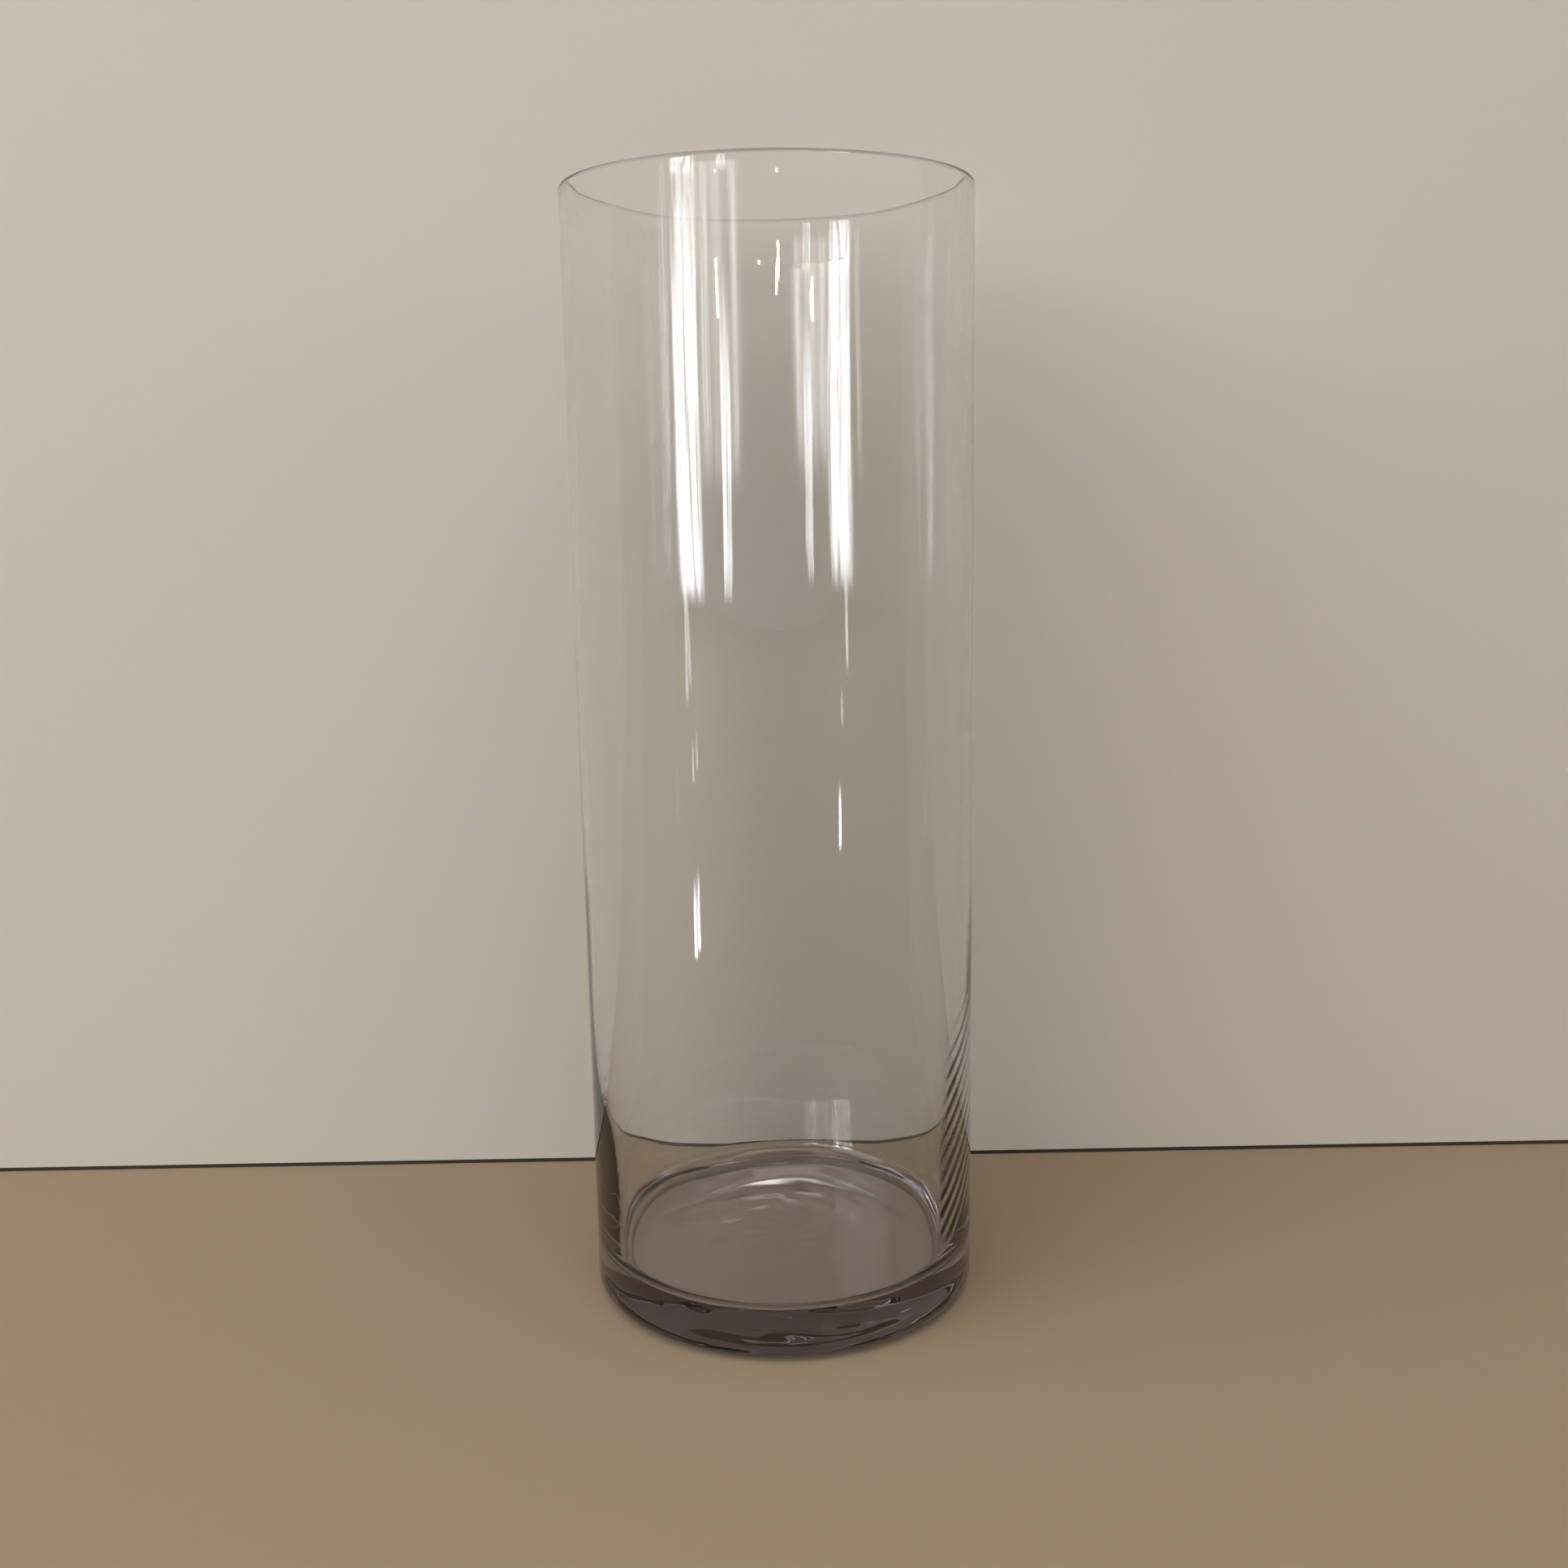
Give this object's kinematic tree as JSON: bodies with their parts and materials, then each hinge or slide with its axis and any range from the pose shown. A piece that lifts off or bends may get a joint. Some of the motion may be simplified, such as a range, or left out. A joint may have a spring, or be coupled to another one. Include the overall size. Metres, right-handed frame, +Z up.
{
  "type": "glass cylinder vase",
  "caption": "Tall straight-sided round vase of clear blown glass with a thick heavy floor and a plain fire-polished lip, for cut flowers or branches.",
  "frame": {"origin": "centre of the plane that the vase stands on", "axes": "+Z up along the vase's axis, towards the mouth; X and Y are alike, because the vase is round"},
  "size_m": [0.127, 0.127, 0.355],
  "materials": {
    "clear_glass": "clear and polished, with a faint violet-grey tint that shows where the glass is thick"
  },
  "bodies": {
    "root": {"glass_body": "clear_glass"}
  },
  "joints": []
}
